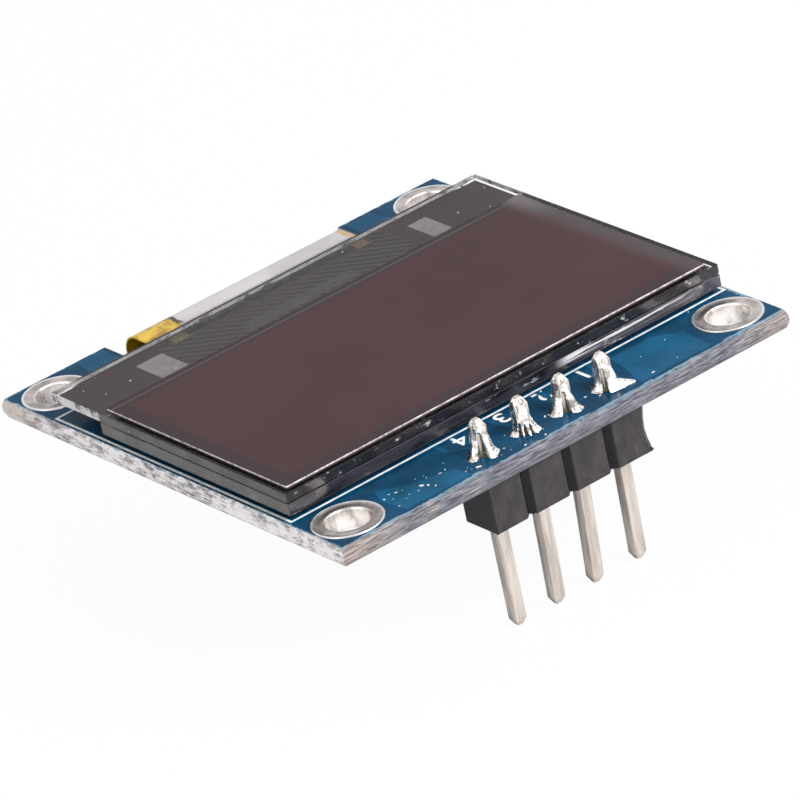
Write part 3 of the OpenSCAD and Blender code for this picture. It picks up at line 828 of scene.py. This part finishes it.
def build_header():
    low, high = place_of("header_body")
    pins = [pin_middle(number)[0] for number in PINS]
    pitch, groove = pins[1] - pins[0], HEADER_GROOVE
    near, far = [], []
    for i, x in enumerate(pins):
        start, end = x - pitch / 2, (x + pitch / 2 - groove if i < 3 else high.x)
        near += [(start, low.y + groove), (start + groove, low.y), (end, low.y)]
        far += [(start, high.y - groove), (start + groove, high.y), (end, high.y)]
    outline = [(x, y, low.z) for x, y in near + far[::-1]]
    body = pushed_out("header_strip", outline, (0, 0, high.z - low.z))
    edit(body)
    for depth in (0.35, 0.9, 1.5, 2.1, 2.45):
        pick_all()
        bpy.ops.mesh.bisect(plane_co=(0, 0, high.z - depth), plane_no=(0, 0, 1))
    # The snapped end is hollow in the middle of its height and flares to a burr at the foot
    for depth, shift in ((0.35, 0.05), (0.9, 0.16), (1.5, 0.20), (2.1, 0.12), (2.45, 0.02)):
        pick("VERT", lambda v: v.x < low.x + groove + 0.02 and abs(v.z - high.z + depth) < 0.02)
        bpy.ops.transform.translate(value=(shift, 0, 0))
    done()
    rounded(body, 0.06, 3, 40)
    shade(body, 40)
    burrs = [body]
    # Place along X, distances in from the outer side and up from the foot, and size of each burr
    for x, inward, up, size in ((low.x + 0.24, 0.05, 0.10, 0.13), (low.x + 0.5, 0.04, 0.05, 0.07),
                                (high.x - 0.05, 0.06, 0.05, 0.07), (pins[2] + 1.1, 0.16, 0.05, 0.08)):
        place = (x, high.y - inward, low.z + up)
        bpy.ops.mesh.primitive_ico_sphere_add(subdivisions=2, radius=size, location=place)
        burr = bpy.context.object
        burr.scale = (1.1, 0.7, 0.8)
        burr = named("burr")
        edit(burr)
        pick_all()
        bpy.ops.transform.vertex_random(offset=size * 0.35, seed=int(size * 100))
        done()
        burrs.append(burr)
    body = joined("header_strip", burrs)
    dress(body, header_finish, "header", "header_body")


PIN_LEANS = (0.14, 0.29, 0.14, 0.0)  # how far each pin's tip was bent sideways


def build_pins():
    for number, lean in zip(PINS, PIN_LEANS):
        low, high = place_of(f"header_pin_{number}")
        foot = place_of("header_body")[0].z
        middle = (low.x + high.x) / 2
        pin = block(f"pin_{number}", low, high)
        edit(pin)
        for z, way in ((high.z, 1), (low.z, -1)):
            pick("FACE", lambda v, z=z: abs(v.z - z) < 0.01)
            extrude((0, 0, 0))
            bpy.ops.transform.resize(value=(0.45, 0.45, 1))
            pick("VERT", lambda v, z=z: abs(v.z - z) < 0.01 and abs(v.x - middle) > 0.25)
            bpy.ops.transform.translate(value=(0, 0, -way * PIN_TAPER))
        for step in range(5):
            pick_all()
            bpy.ops.mesh.bisect(plane_co=(0, 0, foot - 0.1 - step * 1.1), plane_no=(0, 0, 1))
        # Each pin was bent a little in handling
        mesh = bmesh.from_edit_mesh(pin.data)
        for vertex in mesh.verts:
            if vertex.co.z < foot:
                vertex.co.x += lean * ((foot - vertex.co.z) / (foot - low.z)) ** 1.2
        bmesh.update_edit_mesh(pin.data)
        done()
        rounded(pin, 0.035, 2, 12)
        shade(pin, 40)
        dress(pin, pin_finish, "pin", f"header_pin_{number}")


build_header()
build_pins()


# ---------------------------------------------------------------- solder joints

def build_joint(number, shape, folds, bulges, lean, seed):
    """A cone of solder round a pin.

    shape scales the top and the foot; folds are (direction, depth, width at the foot, lowest, highest) and bulges are
    (direction, height, width, lowest, highest), with directions in degrees and heights from 0 to 1.
    """
    low, high = place_of(f"solder_joint_{number}")
    pin_high = place_of(f"header_pin_{number}")[1]
    x, y = (low.x + high.x) / 2, (low.y + high.y) / 2
    foot, top = BOARD_TOP - 0.01, pin_high.z - 0.03
    # Radius of the plain cone at shares of its height
    known = ((0.0, 0.84), (0.04, 0.76), (0.12, 0.64), (0.25, 0.55), (0.45, 0.475), (0.65, 0.43), (0.82, 0.38),
             (0.92, 0.31), (0.98, 0.18))
    profile = [(0.0, foot)]
    rings = 36
    for k in range(rings + 1):
        t = 0.98 * k / rings
        (t0, r0), (t1, r1) = next(((a, b) for a, b in zip(known, known[1:]) if a[0] <= t <= b[0] + 1e-9))
        radius = r0 + (r1 - r0) * (t - t0) / (t1 - t0)
        scale = shape[1] + (shape[0] - shape[1]) * min(1, t / 0.6)
        profile.append((radius * scale, foot + (top - foot) * t))
    profile += [(0.0, top)]
    piece = turned(f"solder_cone_{number}", profile, (x, y), steps=96)
    chance = random.Random(seed)
    ripples = [(chance.uniform(0, 2 * math.pi), chance.uniform(0.015, 0.035), chance.randint(2, 6)) for _ in range(4)]
    flux = piece.data.attributes.new("flux", "FLOAT", "POINT")
    for vertex, mark in zip(piece.data.vertices, flux.data):
        dx, dy = vertex.co.x - x, vertex.co.y - y
        if math.hypot(dx, dy) < 0.02:
            continue
        turn = math.atan2(dy, dx)
        height = (vertex.co.z - foot) / (top - foot)
        change = sum(size * math.sin(count * turn + phase + height * 3) for phase, size, count in ripples)
        fold = 0.0
        for direction, depth, width, start, end in folds:
            away = (math.degrees(turn) - direction + 180) % 360 - 180
            reach = max(0.0, min(1.0, (height - start) / 0.08 + 1)) * max(0.0, min(1.0, (end - height) / 0.12))
            wide = width * (1 - 0.6 * height / max(end, 0.01))
            share = math.exp(-(away / wide) ** 4) * reach
            change -= depth * share
            fold = max(fold, share)
        for direction, size, width, start, end in bulges:
            away = (math.degrees(turn) - direction + 180) % 360 - 180
            middle, half = (start + end) / 2, max(0.01, (end - start) / 2)
            change += size * math.exp(-(away / width) ** 2) * math.exp(-((height - middle) / half) ** 2)
        scale = max(0.3, 1 + change)
        vertex.co.x = x + dx * scale + lean[0] * height ** 2
        vertex.co.y = y + dy * scale + lean[1] * height ** 2
        mark.value = fold
    shade(piece, 60)
    dress(piece, joint_finish, "solder", f"solder_joint_{number}")


# Directions run from the +X side towards the header side at 90 degrees
build_joint(4, (1.0, 0.98), [(58, 0.42, 24, 0.0, 0.72)],
            [(20, 0.16, 26, -0.1, 0.5), (98, 0.22, 26, -0.1, 0.6)], (0.05, 0), 3)
build_joint(3, (0.96, 0.9), [(38, 0.34, 11, 0.0, 0.34), (66, 0.34, 9, 0.0, 0.30), (96, 0.3, 9, 0.0, 0.28)],
            [(130, 0.12, 30, -0.1, 0.3)], (0.02, 0), 5)
build_joint(2, (0.92, 0.98), [(64, 0.40, 20, 0.0, 0.6)],
            [(18, 0.14, 24, -0.1, 0.5), (110, 0.16, 24, -0.1, 0.5)], (0, 0), 8)
build_joint(1, (1.0, 0.96), [(52, 0.38, 15, 0.0, 0.66)],
            [(142, 0.95, 15, -0.06, 0.16), (120, 0.25, 30, 0.0, 0.7)], (0.03, 0), 11)


# ---------------------------------------------------------------- printed ink on the board

def build_ink():
    top = BOARD_TOP + 0.001
    width = 0.14
    x, y = 13.47, 9.71
    outline = block("ink_outline", (-x, -y, top), (x, y, top + 0.012))
    edit(outline)
    pick("FACE", lambda v: v.z > top + 0.01)
    bpy.ops.mesh.inset(thickness=width)
    bpy.ops.mesh.delete(type="FACE")
    pick("FACE", lambda v: v.z < top + 0.01)
    bpy.ops.mesh.inset(thickness=width)
    bpy.ops.mesh.delete(type="FACE")
    pick("EDGE", lambda v: abs(v.x) < x - width / 2 and abs(v.y) < y - width / 2)
    bpy.ops.mesh.bridge_edge_loops()
    done()
    dress(outline, silk_finish, "board")
    for number in PINS:
        bpy.ops.object.text_add(location=(pin_middle(number)[0] - 0.2, 9.86, top))
        text = bpy.context.object
        text.data.body = str(number)
        text.data.size = 1.5
        text.data.offset = 0.02
        text.data.extrude = 0.006
        text.data.align_x = "CENTER"
        bpy.ops.object.convert(target="MESH")
        numeral = named(f"ink_numeral_{number}")
        dress(numeral, silk_finish, "board")


build_ink()


# ---------------------------------------------------------------- copper under the mask, flux and dust

def slab(name, outline, height=0.012):
    return pushed_out(name, [(x, y, BOARD_TOP - 0.01) for x, y in outline], (0, 0, height + 0.01))


def build_copper():
    """Copper areas and tracks of the top face, which raise the mask a little."""
    ground = slab("copper_ground", [(-9.4, 11.3), (-8.2, 10.3), (-5.6, 10.3), (-5.4, 11.55), (-4.9, 13.2),
                                    (-4.9, 13.62), (-9.2, 13.62)])
    near = slab("copper_near", [(5.6, 13.62), (5.7, 12.4), (8.2, 11.6), (9.3, 10.7), (9.75, 11.9), (9.5, 13.62)])
    tracks = []
    for number, bend in ((1, -0.9), (2, -0.3), (3, 0.3), (4, 0.9)):
        x, y = pin_middle(number)
        tracks.append(slab("track", [(x - 0.14, y - 0.9), (x + bend - 0.14, 10.7), (x + bend - 0.14, 8.5),
                                     (x + bend + 0.14, 8.5), (x + bend + 0.14, 10.7), (x + 0.14, y - 0.9)]))
    for sign in (-1, 1):
        corners = ((7.65, -13.7), (9.3, -13.7), (9.6, -11.6), (11.2, -9.85), (7.65, -9.85))
        tracks.append(slab("area", [(sign * x, y) for x, y in corners]))
    piece = joined("copper_relief", [ground, near] + tracks)
    dress(piece, relief_finish, "board")


def flake(centre, size, chance):
    """A small torn fleck lying flat."""
    corners = chance.randint(6, 9)
    turn = chance.uniform(0, math.pi)
    long, short = size * chance.uniform(0.8, 1.3), size * chance.uniform(0.35, 0.7)
    outline = []
    for k in range(corners):
        angle = 2 * math.pi * k / corners
        reach = chance.uniform(0.6, 1.1)
        u, v = long * reach * math.cos(angle), short * reach * math.sin(angle)
        outline.append((centre[0] + u * math.cos(turn) - v * math.sin(turn),
                        centre[1] + u * math.sin(turn) + v * math.cos(turn), centre[2]))
    return pushed_out("flake", outline, (0, 0, chance.uniform(0.01, 0.03)))


def build_specks():
    """Dried flux round the joints and dust on the glass."""
    chance = random.Random(21)
    flux = [(7.66, 12.34, 0.16), (7.28, 12.96, 0.10), (7.45, 12.6, 0.10), (8.05, 12.62, 0.08), (8.79, 11.8, 0.11),
            (9.1, 11.66, 0.07), (9.54, 11.88, 0.10), (9.54, 13.04, 0.08), (6.4, 12.17, 0.08), (6.04, 12.1, 0.06),
            (4.96, 13.32, 0.15), (4.79, 12.67, 0.10), (3.83, 13.31, 0.05), (3.1, 12.94, 0.07), (1.09, 13.6, 0.09),
            (2.32, 13.6, 0.08), (-0.05, 12.15, 0.12), (-0.27, 12.19, 0.09), (-2.89, 12.86, 0.08), (-2.38, 12.34, 0.10),
            (-8.36, 11.16, 0.06), (-7.5, 13.15, 0.06), (-5.85, 13.3, 0.10), (-4.66, 12.97, 0.06), (-10.9, 9.9, 0.05)]
    flux += [(chance.uniform(4.5, 9.5), chance.uniform(11.4, 13.6), 0.035) for _ in range(16)]
    flux += [(chance.uniform(-9, 4), chance.uniform(11.4, 13.6), 0.03) for _ in range(14)]
    specks = [flake((x, y, BOARD_TOP + 0.004), size, chance) for x, y, size in flux]
    dress(joined("flux_specks", specks), dust_finish, "solder")
    top = place_of("front_glass")[1].z - 0.008
    dust = [(10.4, -7.0, 0.10), (-10.08, -6.85, 0.09), (11.94, -6.94, 0.05), (8.32, -6.03, 0.06), (-4.11, -8.7, 0.06),
            (-11.38, -5.89, 0.06), (12.4, -8.2, 0.05), (-12.6, -7.9, 0.05), (11.2, -8.9, 0.04)]
    grains = [flake((x, y, top), size, chance) for x, y, size in dust]
    dress(joined("glass_dust", grains), dust_finish, "glass")


build_copper()
build_specks()


# ---------------------------------------------------------------- parts on the back face

def on_slot(piece, index):
    """Puts every face of a piece on one material slot."""
    for _ in range(index + 1):
        piece.data.materials.append(None)
    for polygon in piece.data.polygons:
        polygon.material_index = index
    return piece


def shrunk(low, high, axis, along, across):
    """A box drawn in from its ends by one measure and from its sides by another."""
    inset = Vector([along if i == axis else across for i in range(3)])
    return low + inset, high - inset


def build_chip_part(node, coat, slot, marked):
    """A ceramic body with rounded metal ends; a marked one has a dark coat on its face."""
    low, high = place_of(node)
    axis = 0 if high.x - low.x > high.y - low.y else 1
    body_low, body_high = shrunk(low, high, axis, 0.2, 0.03)
    body = block(node + "_body", body_low, body_high)
    rounded(body, 0.04, 2)
    parts = [on_slot(body, 0)]
    for side in (0, 1):
        end_low, end_high = low.copy(), high.copy()
        if side == 0:
            end_high[axis] = low[axis] + 0.35
        else:
            end_low[axis] = high[axis] - 0.35
        end = block(node + "_end", end_low, end_high)
        rounded(end, 0.06, 3)
        parts.append(on_slot(end, 1))
    if marked:
        coat_low, coat_high = shrunk(body_low, body_high, axis, 0.15, 0)
        coat_low.z, coat_high.z = low.z + 0.008, low.z + 0.06
        top_coat = block(node + "_coat", coat_low, coat_high)
        rounded(top_coat, 0.015, 2)
        parts.append(on_slot(top_coat, 2))
    piece = joined(node + "_dressed", parts)
    shade(piece, 40)
    dress(piece, [coat, solder_finish] + ([ceramic_black] if marked else []), slot, node)


for number in range(1, 7):
    build_chip_part(f"capacitor_{number}", ceramic_tan, "capacitor", False)
for number in range(1, 8):
    build_chip_part(f"resistor_{number}", ceramic_white, "resistor", True)
for node in ("regulator", "diode"):
    paint(node, case_finish)


# ---------------------------------------------------------------- floor, light and camera

def build_stage():
    low = place_of("header_pin_1")[0].z * MM
    bpy.ops.mesh.primitive_plane_add(size=3, location=(0, 0, low - 0.0001))
    floor = bpy.context.object
    floor.name = "floor"
    finish = Finish("floor_pale", (0.86, 0.86, 0.86), 0.7)
    tone = finish.mix(finish.patches((0.05, 2), 0.3, 0.7), (0.85, 0.85, 0.85), (0.87, 0.87, 0.87))
    finish.set("Base Color", tone)
    rays = finish.add("LightPath").outputs["Is Camera Ray"]
    glow = finish.add("Emission")
    glow.inputs["Strength"].default_value = 1.0
    share = finish.add("MixShader")
    finish.links.new(finish.times(rays, 0.96), share.inputs[0])
    finish.links.new(finish.surface.outputs[0], share.inputs[1])
    finish.links.new(glow.outputs[0], share.inputs[2])
    finish.links.new(share.outputs[0], finish.nodes["Material Output"].inputs["Surface"])
    floor.data.materials.append(finish.material)

    world = bpy.data.worlds.new("studio")
    bpy.context.scene.world = world
    world.use_nodes = True
    nodes, links = world.node_tree.nodes, world.node_tree.links
    sky = nodes["Background"]
    sky.inputs["Color"].default_value = (1, 1, 1, 1)
    rays = nodes.new("ShaderNodeLightPath").outputs
    seen = rays["Is Camera Ray"]
    for kind in ("Is Glossy Ray", "Is Transmission Ray"):
        either = nodes.new("ShaderNodeMath")
        either.operation = "MAXIMUM"
        links.new(seen, either.inputs[0])
        links.new(rays[kind], either.inputs[1])
        seen = either.outputs[0]
    level = nodes.new("ShaderNodeMapRange")
    links.new(seen, level.inputs["Value"])
    level.inputs["To Min"].default_value = 0.55
    level.inputs["To Max"].default_value = 1.0
    links.new(level.outputs["Result"], sky.inputs["Strength"])

    for name, spot, size, power in (("key", (-0.16, 0.34, 0.30), 0.25, 2.4), ("fill", (0.40, 0.05, 0.22), 0.30, 0.4)):
        bpy.ops.object.light_add(type="AREA", location=spot)
        lamp = bpy.context.object
        lamp.name = name
        lamp.data.size = size
        lamp.data.energy = power
        lamp.rotation_mode = "QUATERNION"
        lamp.rotation_quaternion = Vector(spot).to_track_quat("Z", "Y")


def build_camera():
    right = Vector((-0.774277, 0.602857, -0.192508))
    up = Vector((-0.411423, -0.248376, 0.87695))
    back = Vector((0.48086, 0.758204, 0.440341))
    bpy.ops.object.camera_add(location=(0, 0, 0))
    camera = bpy.context.object
    camera.name = "camera"
    camera.data.lens = 342.28
    camera.data.sensor_width = 36
    camera.data.clip_start, camera.data.clip_end = 0.01, 10
    turn = Matrix((right, up, back)).transposed().to_4x4()
    camera.matrix_world = Matrix.Translation(Vector((177.89, 280.533, 161.397)) * MM) @ turn
    bpy.context.scene.camera = camera


build_stage()
build_camera()
bpy.context.scene.view_settings.view_transform = "Standard"
